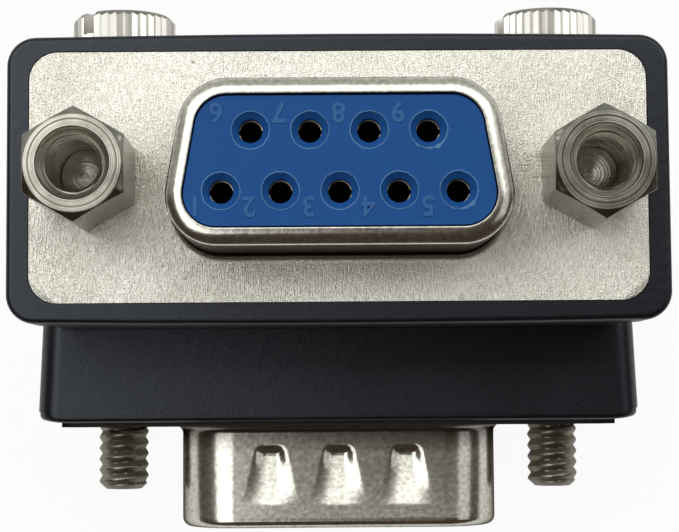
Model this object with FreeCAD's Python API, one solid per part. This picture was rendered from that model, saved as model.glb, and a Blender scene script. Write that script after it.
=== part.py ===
import FreeCAD, Part
import math
import os

V = FreeCAD.Vector
near = 0.001

# Sizes are in millimetres. X runs across the connectors, Y runs up the thumbscrews and the plug
# faces -Y, Z runs out of the socket. The adapter lies on its rear face.

# Contact pattern shared by the socket and the plug
wide_row_count = 5
contact_pitch = 2.77
row_spacing = 2.84
screw_spacing = 24.99

# Pressed connector flanges; an ear is what lies beyond a screw's axis
flange_ear = 2.91
flange_height = 12.55
flange_corner = 1.4
flange_hole_diameter = 3.1
sheet = 0.45
root_radius = 0.55

# D-shaped shells: their short sides lean in by this angle
d_lean = 10.0
socket_d_width = 16.33
socket_d_height = 7.9
socket_d_corner = 2.4
socket_reach = 5.95
socket_rim_radius = 0.42
socket_face_depth = 0.14
plug_d_width = 17.85
plug_d_height = 9.26
plug_d_corner = 3.0
plug_reach = 5.7
plug_rim_radius = 0.2
rear_d_width = 19.28
rear_d_height = 10.72
rear_d_corner = 3.2
rear_cup_depth = 4.2
rear_lip = 1.2

# Pressed dimples that grip the mating shell
dimple_pitch = 3.8
wide_dimple_count = 3
dimple_arch = 0.74
dimple_spread = 0.14
dimple_depth = 0.36
dimple_start = 1.6
dimple_length = 2.5

# Moulded insulators
nose_width = 14.58
nose_height = 6.09
nose_corner = 1.5
insulator_gap = 0.08
insulator_flange = 1.2
mouth_diameter = 1.13
mouth_sink_diameter = 1.78
mouth_depth = 0.8
chamber_diameter = 1.9
shank_hole_diameter = 1.2
plug_floor = 1.0

# Contacts, pins and the wires that link them
pin_diameter = 1.02
pin_tip_diameter = 0.45
pin_tip_length = 0.7
pin_setback = 0.6
barrel_diameter = 1.74
barrel_bore_diameter = 1.06
barrel_bore_depth = 5.2
tine_slot = 0.22
tine_length = 3.6
shank_diameter = 1.1
cup_diameter = 1.3
cup_bore_diameter = 0.9
cup_length = 2.4
cup_bore_depth = 2.0
wire_diameter = 0.8
wire_insertion = 1.6
wire_bend = 1.3

# Jackscrews beside the socket and the nuts that hold them
hex_across_flats = 4.76
hex_length = 5.5
hex_chamfer_angle = 30.0
jack_bevel_diameter = 4.64
jack_face_diameter = 4.4
jack_bevel = 0.1
thread_diameter = 2.84
jack_sink_diameter = 3.5
jack_sink_depth = 0.55
jack_thread_depth = 4.4
drill_point_angle = 118.0
jack_stud_length = 5.4
stud_chamfer = 0.3
jack_nut_thickness = 2.8
thread_gap = 0.05

# Captive thumbscrews
head_above_socket = 11.5
head_diameter = 6.0
head_length = 10.4
head_chamfer = 0.35
collar_diameter = 5.5
collar_length = 0.9
knurl_count = 36
knurl_depth = 0.17
slot_width = 0.85
slot_depth = 1.3
slot_turn_left = -40.0
slot_turn_right = -75.0
thread_out_of_plug_face = 3.65
screw_tip_chamfer = 0.35
shank_top_diameter = 2.9
shank_low_diameter = 2.5
captive_travel = 3.9
stop_gap = 0.1
ring_thickness = 0.5
ring_diameter = 4.6
ring_groove_diameter = 1.8
ring_mouth = 1.65
ring_running_gap = 0.05
bush_thickness = 1.2
bush_diameter = 5.2
bush_bore_diameter = 3.1
screw_bore_diameter = 3.4

# Moulded body: a front frame, a socket leg, a plug leg and the elbow that joins them
plug_axis_height = 7.4
socket_to_plug_axis = 16.5
frame_width = 33.1
frame_above = 7.2
frame_below = 7.4
frame_thickness = 3.2
frame_corner = 1.45
frame_crown = 0.15
frame_edge = 0.3
frame_lip = 0.05
socket_leg_width = 30.8
socket_leg_above = 6.4
socket_leg_corner = 0.8
socket_leg_depth = 7.3
plug_leg_depth = 14.6
plug_leg_foot_width = 33.0
plug_leg_top_width = 31.9
plug_leg_corner = 1.2
plug_leg_edge = 0.4
foot_sweep_length = 1.7
foot_sweep_rise = 0.24
underside_below_socket = 12.3
rim_height = 0.42
rim_inset = 0.07
rim_edge = 0.3
plug_flange_proud = 0.25
ledge_above_socket = 1.0
elbow_width = 18.2
elbow_above_socket = 4.7
elbow_round = 3.4
elbow_edge = 0.5
channel_width = 14.4
channel_height = 5.6
moulding_gap = 0.04

# Places worked out from the sizes
flange_width = screw_spacing + 2 * flange_ear
plug_face_below = underside_below_socket + plug_flange_proud
socket_y = (plug_face_below + plug_reach - head_above_socket) / 2
plug_face_y = socket_y - plug_face_below
underside_y = socket_y - underside_below_socket
ledge_y = socket_y + ledge_above_socket
socket_face_z = plug_axis_height + socket_to_plug_axis
leg_below = frame_below - frame_crown
socket_leg_rear = socket_face_z - socket_leg_depth
rear_cup_end = -2 * sheet - rear_cup_depth
insulator_split = -sheet - insulator_flange
inner_floor = rear_cup_end + sheet
cup_mouth = rear_cup_end - cup_length
thread_radius = thread_diameter / 2
hex_corner = hex_across_flats / math.sqrt(3)
bush_low = ledge_y - bush_thickness
ring_top = bush_low - stop_gap - captive_travel
ring_low = ring_top - ring_thickness
pocket_low = ring_low - stop_gap
head_top_y = socket_y + head_above_socket
head_low_y = head_top_y - head_length
screw_tip_y = plug_face_y - thread_out_of_plug_face
screw_x = {"left": -screw_spacing / 2, "right": screw_spacing / 2}


def outline(width, height, corner, lean, z):
    # Four corner arcs joined by lines; the wide side is at -Y when the short sides lean
    angle = math.radians(lean)
    rise = height / 2 - corner
    wide = width / 2 - corner
    narrow = wide - 2 * rise * math.tan(angle)
    quarter = math.pi / 2
    corners = [
        (wide, -rise, -quarter, angle),
        (narrow, rise, angle, quarter),
        (-narrow, rise, quarter, math.pi - angle),
        (-wide, -rise, math.pi - angle, 3 * quarter),
    ]
    arcs = [
        Part.ArcOfCircle(Part.Circle(V(x, y, z), V(0, 0, 1), corner), start, stop)
        for x, y, start, stop in corners
    ]
    edges = []
    for arc, following in zip(arcs, arcs[1:] + arcs[:1]):
        edges.append(arc.toShape())
        edges.append(Part.makeLine(arc.EndPoint, following.StartPoint))
    return Part.Wire(edges)


def prism(width, height, corner, lean, low, high):
    return Part.Face(outline(width, height, corner, lean, low)).extrude(V(0, 0, high - low))


def turned(profile):
    # A solid of revolution about Z from (radius, height) points
    points = [V(radius, 0, height) for radius, height in profile]
    face = Part.Face(Part.makePolygon(points + points[:1]))
    return face.revolve(V(0, 0, 0), V(0, 0, 1), 360)


def cylinder(diameter, low, high, x=0.0, y=0.0):
    return Part.makeCylinder(diameter / 2, high - low, V(x, y, low))


def hexagon(across_flats, low, high):
    # Flats face left and right, corners point up and down
    reach = across_flats / math.sqrt(3)
    turns = [math.radians(90 + 60 * k) for k in range(7)]
    points = [V(reach * math.cos(a), reach * math.sin(a), low) for a in turns]
    return Part.Face(Part.makePolygon(points)).extrude(V(0, 0, high - low))


def level_edges(shape, z, half_width, half_height):
    # Edges that lie flat at height z inside a half_width by half_height window
    found = []
    for edge in shape.Edges:
        box = edge.BoundBox
        flat = abs(box.ZMin - z) < near and abs(box.ZMax - z) < near
        inside_x = max(abs(box.XMin), abs(box.XMax)) < half_width
        inside_y = max(abs(box.YMin), abs(box.YMax)) < half_height
        if flat and inside_x and inside_y:
            found.append(edge)
    return found


def contact_spots():
    # (number, x, y) of every contact, the wide row first, as seen from the socket side
    narrow_row_count = wide_row_count - 1
    spots = []
    for count, y in ((wide_row_count, -row_spacing / 2), (narrow_row_count, row_spacing / 2)):
        for k in range(count):
            x = (k - (count - 1) / 2) * contact_pitch
            spots.append((len(spots) + 1, x, y))
    return spots


def screw_holes(diameter, low, high):
    return [cylinder(diameter, low, high, x) for x in screw_x.values()]


def front_shell(width, height, corner, reach, rim_radius):
    # Flange and drawn D in one sheet, with the same wall round the bend at its root
    flange = prism(flange_width, flange_height, flange_corner, 0, -sheet, 0)
    outer = flange.fuse(prism(width, height, corner, d_lean, -sheet, reach))
    window = (width / 2 + sheet, height / 2 + sheet)
    outer = outer.makeFillet(root_radius, level_edges(outer, 0, *window))
    outer = outer.makeFillet(rim_radius, level_edges(outer, reach, *window))
    bore = prism(width - 2 * sheet, height - 2 * sheet, corner - sheet, d_lean, -2 * sheet, reach)
    floor = prism(flange_width, flange_height, flange_corner, 0, -2 * sheet, -sheet)
    inner = floor.fuse(bore)
    inner = inner.makeFillet(root_radius + sheet, level_edges(inner, -sheet, *window))
    return outer, inner


def socket_shell():
    outer, inner = front_shell(
        socket_d_width, socket_d_height, socket_d_corner, socket_reach, socket_rim_radius
    )
    # The front edge turns inwards and leaves an opening round the insulator's nose
    top = socket_reach - sheet
    corner = V(-flange_width / 2, -flange_height / 2, top)
    above = Part.makeBox(flange_width, flange_height, sheet * 2, corner)
    inner = inner.cut(above)
    gap = 2 * insulator_gap
    opening = prism(
        nose_width + gap, nose_height + gap, nose_corner + insulator_gap, d_lean, 0, socket_reach + sheet
    )
    shell = outer.cut(inner).cut(opening)
    return shell.cut(screw_holes(flange_hole_diameter, -2 * sheet, sheet))


def dimple(x, outer_y, grow):
    # An arch with spreading sides, deepest under its crown, whose floor rises towards the mouth
    side = math.copysign(1, outer_y)
    arch = dimple_arch + grow
    spring = dimple_start + dimple_arch
    end = dimple_start + dimple_length
    past = end + dimple_arch
    wide = arch + dimple_spread * (past - spring)
    edges = [
        Part.Arc(V(-arch, 0, spring), V(0, 0, spring - arch), V(arch, 0, spring)).toShape(),
        Part.makeLine(V(arch, 0, spring), V(wide, 0, past)),
        Part.makeLine(V(wide, 0, past), V(-wide, 0, past)),
        Part.makeLine(V(-wide, 0, past), V(-arch, 0, spring)),
    ]
    inner = outer_y - side * (dimple_depth + grow) * 2
    outer = outer_y + side * dimple_depth * 2
    tool = Part.Face(Part.Wire(edges)).extrude(V(0, outer - inner, 0)).translated(V(x, inner, 0))
    slope = dimple_depth / dimple_length
    low = dimple_start - arch
    reach = past - low
    deep = outer_y - side * (grow + slope * (end - low))
    shallow = outer_y - side * (grow + slope * (end - past))
    corners = [
        V(x - wide, deep, low),
        V(x - wide, shallow, low + reach),
        V(x - wide, outer, low + reach),
        V(x - wide, outer, low),
    ]
    wedge = Part.Face(Part.makePolygon(corners + corners[:1])).extrude(V(2 * wide, 0, 0))
    return tool.common(wedge)


def plug_shell():
    outer, inner = front_shell(plug_d_width, plug_d_height, plug_d_corner, plug_reach, plug_rim_radius)
    shell = outer.cut(inner)
    half = plug_d_height / 2
    bounds = prism(plug_d_width, plug_d_height, plug_d_corner, d_lean, 0, plug_reach)
    for side, count in ((-1, wide_dimple_count), (1, wide_dimple_count - 1)):
        for k in range(count):
            x = (k - (count - 1) / 2) * dimple_pitch
            inside = dimple(x, side * half, sheet).common(bounds)
            shell = shell.fuse(inside).cut(dimple(x, side * half, 0))
    return shell.cut(screw_holes(flange_hole_diameter, -2 * sheet, sheet))


def rear_shell():
    # Second pressed shell behind the flange; its lip holds the insulators in
    flange = prism(flange_width, flange_height, flange_corner, 0, -2 * sheet, -sheet)
    cup = prism(rear_d_width, rear_d_height, rear_d_corner, d_lean, rear_cup_end, -sheet)
    outer = flange.fuse(cup)
    outer = outer.makeFillet(sheet, level_edges(outer, rear_cup_end, rear_d_width, rear_d_height))
    thin = 2 * sheet
    inner = prism(
        rear_d_width - thin, rear_d_height - thin, rear_d_corner - sheet, d_lean, inner_floor, sheet
    )
    lip = 2 * rear_lip
    opening = prism(
        rear_d_width - lip, rear_d_height - lip, rear_d_corner - rear_lip, d_lean, rear_cup_end - sheet, 0
    )
    shell = outer.cut(inner).cut(opening)
    return shell.cut(screw_holes(flange_hole_diameter, -3 * sheet, 0))


def insulator_block(low, high):
    # The part of an insulator that sits in the rear shell
    trim = 2 * (sheet + insulator_gap)
    corner = rear_d_corner - sheet - insulator_gap
    return prism(rear_d_width - trim, rear_d_height - trim, corner, d_lean, low, high)


def socket_insulator():
    face = socket_reach - socket_face_depth
    trim = 2 * (sheet + insulator_gap)
    shoulder = socket_reach - sheet - insulator_gap
    corner = socket_d_corner - sheet - insulator_gap
    body = prism(
        socket_d_width - trim, socket_d_height - trim, corner, d_lean, insulator_split, shoulder
    )
    nose = prism(nose_width, nose_height, nose_corner, d_lean, insulator_split, face)
    block = insulator_block(insulator_split, -sheet - insulator_gap).fuse(body).fuse(nose)
    sink = (mouth_sink_diameter - mouth_diameter) / 2
    mouth = mouth_diameter / 2
    chamber = chamber_diameter / 2
    hole = turned(
        [
            (0, insulator_split - 1),
            (chamber, insulator_split - 1),
            (chamber, face - mouth_depth),
            (mouth, face - mouth_depth),
            (mouth, face - sink),
            (mouth + 2 * sink, face + sink),
            (0, face + sink),
        ]
    )
    return block.cut([hole.translated(V(x, y, 0)) for number, x, y in contact_spots()])


def plug_insulator():
    trim = 2 * (sheet + insulator_gap)
    corner = plug_d_corner - sheet - insulator_gap
    body = prism(
        plug_d_width - trim, plug_d_height - trim, corner, d_lean, insulator_split, plug_floor
    )
    block = insulator_block(insulator_split, -sheet - insulator_gap).fuse(body)
    seat = plug_floor - mouth_depth
    mouth = mouth_diameter / 2
    chamber = chamber_diameter / 2
    hole = turned(
        [
            (0, insulator_split - 1),
            (chamber, insulator_split - 1),
            (chamber, seat),
            (mouth, seat),
            (mouth, plug_floor + 1),
            (0, plug_floor + 1),
        ]
    )
    return block.cut([hole.translated(V(x, y, 0)) for number, x, y in contact_spots()])


def rear_insulator():
    block = insulator_block(inner_floor, insulator_split)
    holes = [
        cylinder(shank_hole_diameter, inner_floor - 1, insulator_split + 1, x, y)
        for number, x, y in contact_spots()
    ]
    return block.cut(holes)


def tail_profile():
    # Shank through the rear insulator and a solder cup at its end, from the split backwards
    shank = shank_diameter / 2
    cup = cup_diameter / 2
    bore = cup_bore_diameter / 2
    bottom = cup_mouth + cup_bore_depth
    return [
        (shank, insulator_split),
        (shank, rear_cup_end),
        (cup, rear_cup_end),
        (cup, cup_mouth),
        (bore, cup_mouth),
        (bore, bottom),
        (0, bottom),
    ]


def socket_contact():
    front = socket_reach - socket_face_depth - mouth_depth - insulator_gap
    bottom = front - barrel_bore_depth
    bore = barrel_bore_diameter / 2
    barrel = barrel_diameter / 2
    lead = [(0, bottom), (bore, bottom), (bore, front), (barrel, front), (barrel, insulator_split)]
    contact = turned(lead + tail_profile())
    corner = V(-barrel_diameter, -tine_slot / 2, front - tine_length)
    slot = Part.makeBox(barrel_diameter * 2, tine_slot, tine_length + 1, corner)
    return contact.cut(slot)


def plug_pin():
    tip = plug_reach - pin_setback
    shoulder = plug_floor - mouth_depth - insulator_gap
    radius = pin_diameter / 2
    barrel = barrel_diameter / 2
    lead = [
        (0, tip),
        (pin_tip_diameter / 2, tip),
        (radius, tip - pin_tip_length),
        (radius, shoulder),
        (barrel, shoulder),
        (barrel, insulator_split),
    ]
    return turned(lead + tail_profile())


def jackscrew():
    # Hexagonal pillar with a threaded bore, and a threaded stud behind it
    face = hex_length
    stud_end = -jack_stud_length
    pillar = hexagon(hex_across_flats, 0, face)
    bevel = jack_bevel_diameter / 2
    drop = (hex_corner - bevel) * math.tan(math.radians(hex_chamfer_angle))
    blank = turned(
        [
            (0, 0),
            (bevel, 0),
            (hex_corner, drop),
            (hex_corner, face - jack_bevel - drop),
            (bevel, face - jack_bevel),
            (jack_face_diameter / 2, face),
            (0, face),
        ]
    )
    stud = turned(
        [
            (0, 1),
            (thread_radius, 1),
            (thread_radius, stud_end + stud_chamfer),
            (thread_radius - stud_chamfer, stud_end),
            (0, stud_end),
        ]
    )
    sink = jack_sink_diameter / 2
    ramp = sink - thread_radius
    thread_end = face - jack_sink_depth - jack_thread_depth
    point = thread_radius / math.tan(math.radians(drill_point_angle / 2))
    bore = turned(
        [
            (0, thread_end - point),
            (thread_radius, thread_end),
            (thread_radius, face - jack_sink_depth),
            (sink, face - jack_sink_depth + ramp),
            (sink, face + 1),
            (0, face + 1),
        ]
    )
    return pillar.common(blank).fuse(stud).cut(bore)


def jack_nut():
    nut = hexagon(hex_across_flats, -2 * sheet - jack_nut_thickness, -2 * sheet)
    return nut.cut(cylinder(thread_diameter + 2 * thread_gap, -2 * sheet - jack_nut_thickness - 1, 0))


def thumbscrew(slot_turn):
    # Built upright on Z with row heights, then laid along Y: knurled head, shank with a ring
    # groove, and the thread at its tip
    top = head_top_y
    low = head_low_y
    radius = head_diameter / 2
    steps = [math.pi * k / knurl_count for k in range(2 * knurl_count)]
    points = []
    for k, turn in enumerate(steps):
        reach = radius - knurl_depth * (k % 2)
        points.append(V(reach * math.cos(turn), reach * math.sin(turn), low + collar_length))
    head = Part.Face(Part.makePolygon(points + points[:1])).extrude(V(0, 0, top - low - collar_length))
    blank = turned(
        [
            (0, low + collar_length),
            (radius - head_chamfer, low + collar_length),
            (radius, low + collar_length + head_chamfer),
            (radius, top - head_chamfer),
            (radius - head_chamfer, top),
            (0, top),
        ]
    )
    head = head.common(blank)
    groove = ring_groove_diameter / 2
    upper = shank_top_diameter / 2
    lower = shank_low_diameter / 2
    thread_top = plug_face_y - stop_gap
    shank = turned(
        [
            (0, low + collar_length),
            (collar_diameter / 2, low + collar_length),
            (collar_diameter / 2, low),
            (upper, low),
            (upper, ring_top + ring_running_gap),
            (groove, ring_top + ring_running_gap),
            (groove, ring_low - ring_running_gap),
            (lower, ring_low - ring_running_gap),
            (lower, thread_top),
            (thread_radius, thread_top),
            (thread_radius, screw_tip_y + screw_tip_chamfer),
            (thread_radius - screw_tip_chamfer, screw_tip_y),
            (0, screw_tip_y),
        ]
    )
    corner = V(-head_diameter, -slot_width / 2, top - slot_depth)
    slot = Part.makeBox(head_diameter * 2, slot_width, slot_depth + 1, corner)
    slot.rotate(V(0, 0, 0), V(0, 0, 1), slot_turn + 90)
    return head.fuse(shank).cut(slot)


def retaining_ring():
    # Spring ring that clips on from the side: its mouth is a little narrower than the groove
    ring = cylinder(ring_diameter, ring_low, ring_top)
    inner = ring_groove_diameter + 2 * ring_running_gap
    corner = V(-ring_mouth / 2, 0, ring_low - 1)
    slot = Part.makeBox(ring_mouth, ring_diameter, ring_thickness + 2, corner)
    return ring.cut(cylinder(inner, ring_low - 1, ring_top + 1)).cut(slot)


def retaining_bush():
    bore = cylinder(bush_bore_diameter, bush_low - 1, ledge_y + 1)
    return cylinder(bush_diameter, bush_low, ledge_y).cut(bore)


def link_wire(x, y):
    # From the socket contact's cup straight back, round one bend and down into the pin's cup
    level = socket_y + y
    depth = plug_axis_height - y
    start = socket_face_z + cup_mouth + wire_insertion
    end = plug_face_y - cup_mouth - wire_insertion
    turn_z = depth + wire_bend
    turn_y = level - wire_bend
    middle = wire_bend * (1 - math.sqrt(0.5))
    path = Part.Wire(
        [
            Part.makeLine(V(x, level, start), V(x, level, turn_z)),
            Part.Arc(
                V(x, level, turn_z), V(x, level - middle, depth + middle), V(x, turn_y, depth)
            ).toShape(),
            Part.makeLine(V(x, turn_y, depth), V(x, end, depth)),
        ]
    )
    section = Part.Wire(Part.makeCircle(wire_diameter / 2, V(x, level, start), V(0, 0, 1)))
    return path.makePipeShell([section], True, False)


def connector_pocket(reach):
    # Room in the moulding for a flange pair, its rear cup and what stands behind the cup
    grow = 2 * moulding_gap
    floor = -2 * sheet - moulding_gap
    plates = prism(
        flange_width + grow, flange_height + grow, flange_corner + moulding_gap, 0, floor, reach
    )
    cup = prism(
        rear_d_width + grow,
        rear_d_height + grow,
        rear_d_corner + moulding_gap,
        d_lean,
        rear_cup_end - moulding_gap,
        0,
    )
    return plates.fuse(cup)


def frame_block():
    # Front frame with slightly crowned long edges
    half = frame_width / 2
    low = -frame_below
    high = frame_above
    corners = [
        V(-half, low + frame_crown, 0),
        V(half, low + frame_crown, 0),
        V(half, high - frame_crown, 0),
        V(-half, high - frame_crown, 0),
    ]
    wire = Part.Wire(
        [
            Part.Arc(corners[0], V(0, low, 0), corners[1]).toShape(),
            Part.makeLine(corners[1], corners[2]),
            Part.Arc(corners[2], V(0, high, 0), corners[3]).toShape(),
            Part.makeLine(corners[3], corners[0]),
        ]
    )
    block = Part.Face(wire).extrude(V(0, 0, frame_thickness))
    uprights = [edge for edge in block.Edges if edge.BoundBox.ZLength > frame_thickness / 2]
    block = block.makeFillet(frame_corner, uprights)
    rims = [edge for edge in block.Edges if edge.BoundBox.ZLength < near]
    block = block.makeFillet(frame_edge, rims)
    return block.translated(V(0, socket_y, socket_face_z + frame_lip - frame_thickness))


def socket_leg():
    # Block behind the frame, and the lower web that carries it to the plug leg
    height = socket_leg_above + leg_below
    block = prism(
        socket_leg_width, height, socket_leg_corner, 0, socket_leg_rear, socket_face_z - frame_thickness / 2
    )
    block = block.translated(V(0, socket_y + (socket_leg_above - leg_below) / 2, 0))
    web_height = ledge_above_socket + leg_below
    low = plug_leg_depth / 2
    high = socket_leg_rear + socket_leg_corner
    web = prism(socket_leg_width, web_height, socket_leg_corner, 0, low, high)
    web = web.translated(V(0, socket_y + (ledge_above_socket - leg_below) / 2, 0))
    return block.fuse(web)


def leg_outline(foot_width, top_width, low, high):
    # Front view of the plug leg: leaning sides on a foot that sweeps up at both ends
    foot = foot_width / 2
    top = top_width / 2
    flat = foot - foot_sweep_length
    heel = low + foot_sweep_rise
    radius = (foot_sweep_length**2 + foot_sweep_rise**2) / (2 * foot_sweep_rise)
    turn = math.asin(foot_sweep_length / radius) / 2
    middle_x = flat + radius * math.sin(turn)
    middle_y = low + radius * (1 - math.cos(turn))
    return Part.Wire(
        [
            Part.makeLine(V(-flat, low, 0), V(flat, low, 0)),
            Part.Arc(V(flat, low, 0), V(middle_x, middle_y, 0), V(foot, heel, 0)).toShape(),
            Part.makeLine(V(foot, heel, 0), V(top, high, 0)),
            Part.makeLine(V(top, high, 0), V(-top, high, 0)),
            Part.makeLine(V(-top, high, 0), V(-foot, heel, 0)),
            Part.Arc(V(-foot, heel, 0), V(-middle_x, middle_y, 0), V(-flat, low, 0)).toShape(),
        ]
    )


def leg_block(foot_width, top_width, low, high, inset, corner):
    block = Part.Face(leg_outline(foot_width, top_width, low, high))
    block = block.extrude(V(0, 0, plug_leg_depth - 2 * inset)).translated(V(0, 0, inset))
    uprights = [
        edge
        for edge in block.Edges
        if edge.BoundBox.ZLength < near and abs(edge.tangentAt(edge.FirstParameter).y) > 0.9
    ]
    return block.makeFillet(corner, uprights)


def plug_leg():
    # Block round the plug, and the thin rim under it that frames the plug's flange
    foot = underside_y + rim_height
    block = leg_block(plug_leg_foot_width, plug_leg_top_width, foot, ledge_y, 0, plug_leg_corner)
    tops = [edge for edge in block.Edges if edge.BoundBox.YMin > ledge_y - near]
    block = block.makeFillet(plug_leg_edge, tops)
    width = plug_leg_foot_width - 2 * rim_inset
    corner = plug_leg_corner - rim_inset
    rim = leg_block(width, width, underside_y, foot + plug_leg_edge, rim_inset, corner)
    under = []
    for edge in rim.Edges:
        box = edge.BoundBox
        seam = box.ZLength > plug_leg_depth / 2 and max(abs(box.XMin), abs(box.XMax)) < width / 2 - near
        if box.YMax < underside_y + foot_sweep_rise + near and not seam:
            under.append(edge)
    rim = rim.makeFillet(rim_edge, under)
    return block.fuse(rim)


def elbow():
    # Raised back between the thumbscrew heads, with a large round at its top edge
    low = ledge_y - elbow_round
    high = socket_y + elbow_above_socket
    depth = socket_leg_rear + elbow_edge
    block = Part.makeBox(elbow_width, high - low, depth, V(-elbow_width / 2, low, 0))
    crest = [
        edge
        for edge in block.Edges
        if edge.BoundBox.YMin > high - near and edge.BoundBox.ZMax < near
    ]
    block = block.makeFillet(elbow_round, crest)
    sides = []
    for edge in block.Edges:
        box = edge.BoundBox
        at_side = min(abs(box.XMin), abs(box.XMax)) > elbow_width / 2 - near
        if at_side and box.YMax > ledge_y and box.ZMin < depth - near:
            sides.append(edge)
    return block.makeFillet(elbow_edge, sides)


def wire_channel():
    # Hollow elbow behind the two rear cups, where the link wires run
    half = channel_width / 2
    low = socket_y - channel_height / 2
    depth = plug_axis_height - channel_height / 2
    back = socket_face_z + rear_cup_end
    along = Part.makeBox(channel_width, channel_height, back - depth, V(-half, low, depth))
    floor = plug_face_y - rear_cup_end
    down = Part.makeBox(channel_width, low + channel_height - floor, channel_height, V(-half, floor, depth))
    return along.fuse(down)


def moulded_body():
    body = plug_leg().fuse([socket_leg(), frame_block(), elbow()])
    body = body.cut([on_socket(connector_pocket(1)), on_plug(connector_pocket(1)), wire_channel()])
    nut_low = -2 * sheet - jack_nut_thickness - moulding_gap
    nut_room = hexagon(hex_across_flats + 2 * moulding_gap, nut_low, 0)
    stud_room = cylinder(thread_diameter + 2 * thread_gap, -jack_stud_length - stop_gap, 0)
    cuts = []
    for x in screw_x.values():
        cuts.append(on_socket(nut_room.fuse(stud_room).translated(V(x, 0, 0))))
        bore = cylinder(screw_bore_diameter, plug_face_y - 1, pocket_low + 1)
        pocket = cylinder(bush_diameter, pocket_low, ledge_y + 1)
        cuts.append(on_screw(bore.fuse(pocket), x))
    return body.cut(cuts).removeSplitter()


def placed(shape, position, rotation):
    moved = shape.copy()
    moved.Placement = FreeCAD.Placement(position, rotation).multiply(moved.Placement)
    return moved


def on_socket(shape):
    return placed(shape, V(0, socket_y, socket_face_z), FreeCAD.Rotation())


def on_plug(shape):
    # Faces -Y with the wide side of the D towards +Z
    turn = FreeCAD.Rotation(V(1, 0, 0), 90).multiply(FreeCAD.Rotation(V(0, 0, 1), 180))
    return placed(shape, V(0, plug_face_y, plug_axis_height), turn)


def on_screw(shape, x):
    return placed(shape, V(x, 0, plug_axis_height), FreeCAD.Rotation(V(1, 0, 0), -90))


def build():
    parts = {
        "moulded_body": moulded_body(),
        "socket_shell": on_socket(socket_shell()),
        "socket_rear_shell": on_socket(rear_shell()),
        "socket_insulator": on_socket(socket_insulator()),
        "socket_rear_insulator": on_socket(rear_insulator()),
        "plug_shell": on_plug(plug_shell()),
        "plug_rear_shell": on_plug(rear_shell()),
        "plug_insulator": on_plug(plug_insulator()),
        "plug_rear_insulator": on_plug(rear_insulator()),
    }
    contact = socket_contact()
    pin = plug_pin()
    for number, x, y in contact_spots():
        parts[f"socket_contact_{number}"] = on_socket(contact.translated(V(x, y, 0)))
        parts[f"plug_pin_{number}"] = on_plug(pin.translated(V(-x, y, 0)))
        parts[f"link_wire_{number}"] = link_wire(x, y)
    turns = {"left": slot_turn_left, "right": slot_turn_right}
    for side, x in screw_x.items():
        parts[f"jackscrew_{side}"] = on_socket(jackscrew().translated(V(x, 0, 0)))
        parts[f"jack_nut_{side}"] = on_socket(jack_nut().translated(V(x, 0, 0)))
        parts[f"thumbscrew_{side}"] = on_screw(thumbscrew(turns[side]), x)
        parts[f"retaining_ring_{side}"] = on_screw(retaining_ring(), x)
        parts[f"retaining_bush_{side}"] = on_screw(retaining_bush(), x)
    return parts


os.makedirs("parts", exist_ok=True)
for name, shape in build().items():
    if shape.ShapeType == "Compound" and len(shape.Solids) == 1:
        shape = shape.Solids[0]
    print(f"{name}: {len(shape.Solids)} solid, {shape.Volume:.2f} mm3, valid {shape.isValid()}")
    shape.exportStep(f"parts/{name}.step")
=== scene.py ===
import bpy
import bmesh
import math
import random
from mathutils import Matrix, Vector


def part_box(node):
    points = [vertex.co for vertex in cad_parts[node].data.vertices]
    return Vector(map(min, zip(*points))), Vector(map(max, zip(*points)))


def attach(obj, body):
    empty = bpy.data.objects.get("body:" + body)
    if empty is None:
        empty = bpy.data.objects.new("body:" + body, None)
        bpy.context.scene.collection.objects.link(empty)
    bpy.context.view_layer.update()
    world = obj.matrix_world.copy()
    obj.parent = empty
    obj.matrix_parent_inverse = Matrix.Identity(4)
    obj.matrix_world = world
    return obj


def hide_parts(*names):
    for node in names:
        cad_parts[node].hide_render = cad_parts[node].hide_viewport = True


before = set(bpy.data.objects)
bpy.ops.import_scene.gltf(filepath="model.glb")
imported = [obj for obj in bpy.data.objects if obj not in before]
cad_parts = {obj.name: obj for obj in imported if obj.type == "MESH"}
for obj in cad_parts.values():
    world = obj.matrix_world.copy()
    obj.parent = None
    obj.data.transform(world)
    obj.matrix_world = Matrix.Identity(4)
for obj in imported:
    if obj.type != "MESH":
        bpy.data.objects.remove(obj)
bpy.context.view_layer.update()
mm = 0.001
print("frame loaded:", len(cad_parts), "nodes")

# Places that the pieces share, read from the frame
sheet = 0.45 * mm        # both shells are pressed from this sheet
hair = 0.001 * mm        # what lies this close to a plane is in it
sliver = 0.01 * mm       # the same, where a size was rounded
sides = ("left", "right")
socketLow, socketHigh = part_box("socket_shell")
plugLow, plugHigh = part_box("plug_shell")
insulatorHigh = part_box("socket_insulator")[1]
socketFaceZ = socketLow.z + sheet
socketCentreY = (socketLow.y + socketHigh.y) / 2
plugFaceY = plugHigh.y - sheet
plugCentreZ = (plugLow.z + plugHigh.z) / 2
onSocket = Matrix.Translation((0, socketCentreY, socketFaceZ))
onPlug = Matrix.Translation((0, plugFaceY, plugCentreZ)) @ Matrix.Rotation(math.pi / 2, 4, "X")
onPlug = onPlug @ Matrix.Rotation(math.pi, 4, "Z")   # its wide side is towards +Z


def nodeMiddle(node):
    low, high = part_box(node)
    return (low + high) / 2


# Selection and finishing, shared by every piece

def clearSelection():
    if bpy.context.object and bpy.context.object.mode != "OBJECT":
        bpy.ops.object.mode_set(mode="OBJECT")
    bpy.ops.object.select_all(action="DESELECT")


def pick(*pieces):
    clearSelection()
    for piece in pieces:
        piece.select_set(True)
    bpy.context.view_layer.objects.active = pieces[0]


def editAll(piece):
    pick(piece)
    bpy.ops.object.mode_set(mode="EDIT")
    bpy.ops.mesh.select_all(action="SELECT")


# Puts a piece's place into its mesh, which leaves its object at the origin
def bakePlace(piece):
    pick(piece)
    bpy.ops.object.transform_apply(location=True, rotation=True, scale=True)


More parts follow.
